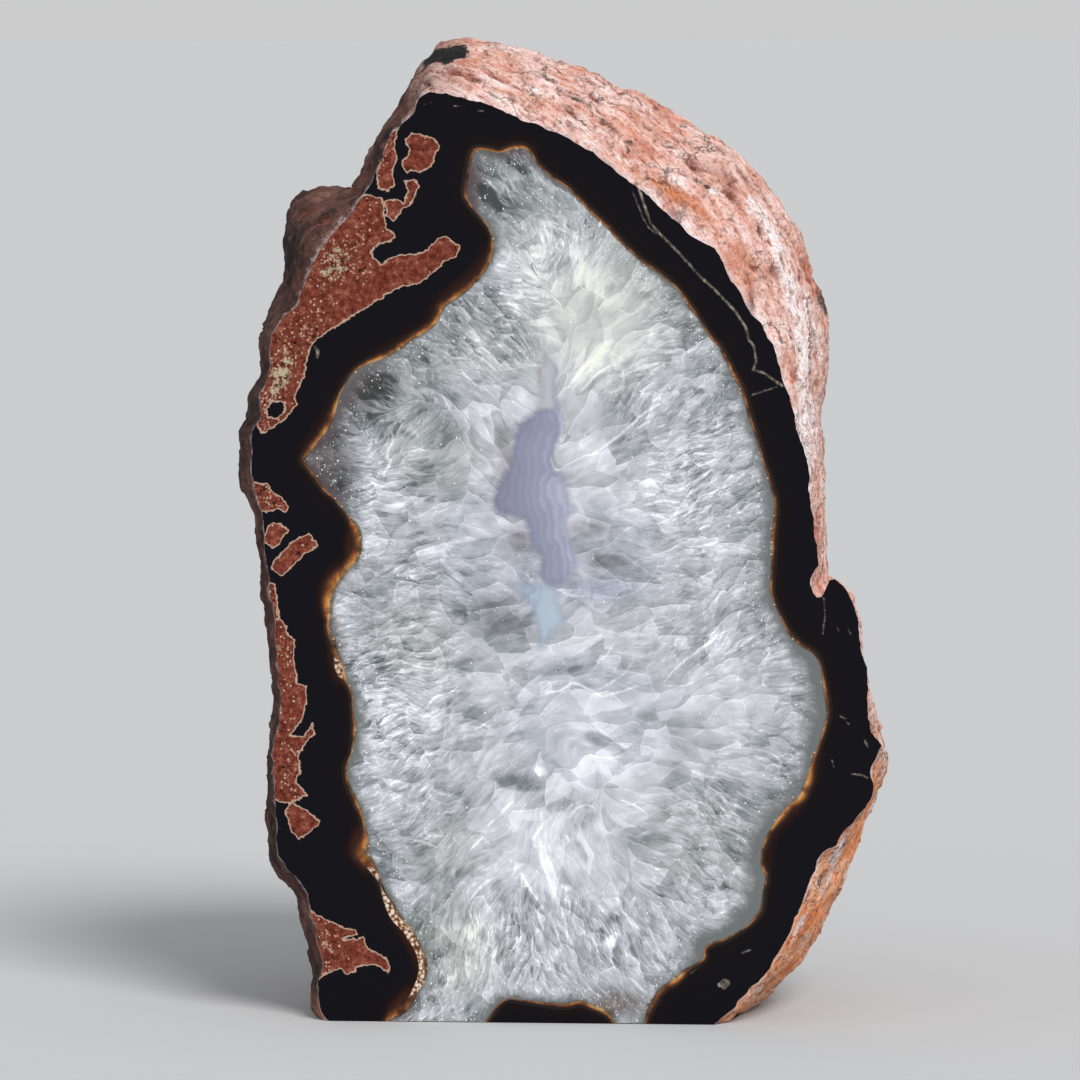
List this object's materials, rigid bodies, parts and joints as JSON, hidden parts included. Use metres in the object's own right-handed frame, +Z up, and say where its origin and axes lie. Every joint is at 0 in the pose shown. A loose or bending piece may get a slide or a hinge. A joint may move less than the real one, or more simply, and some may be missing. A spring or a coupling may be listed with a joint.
{
  "type": "agate geode",
  "caption": "Standing cut-base agate geode: one nodule with a polished face of black agate round a milky quartz heart, a rough salmon rind and a flat-sawn foot.",
  "frame": {"origin": "on the flat-sawn foot, at the middle of the stone's width and depth", "axes": "+Z up from the foot to the crown, the stone's longest extent; -Y out of the polished face; +X to the right of someone who looks at the face"},
  "size_m": [0.1638, 0.1024, 0.247],
  "materials": {
    "rind": "rough natural rind",
    "black_agate": "polished",
    "milky_quartz": "polished",
    "sawn_foot": "fine sawn and ground"
  },
  "bodies": {
    "root": {"geode": "rind"}
  },
  "joints": []
}
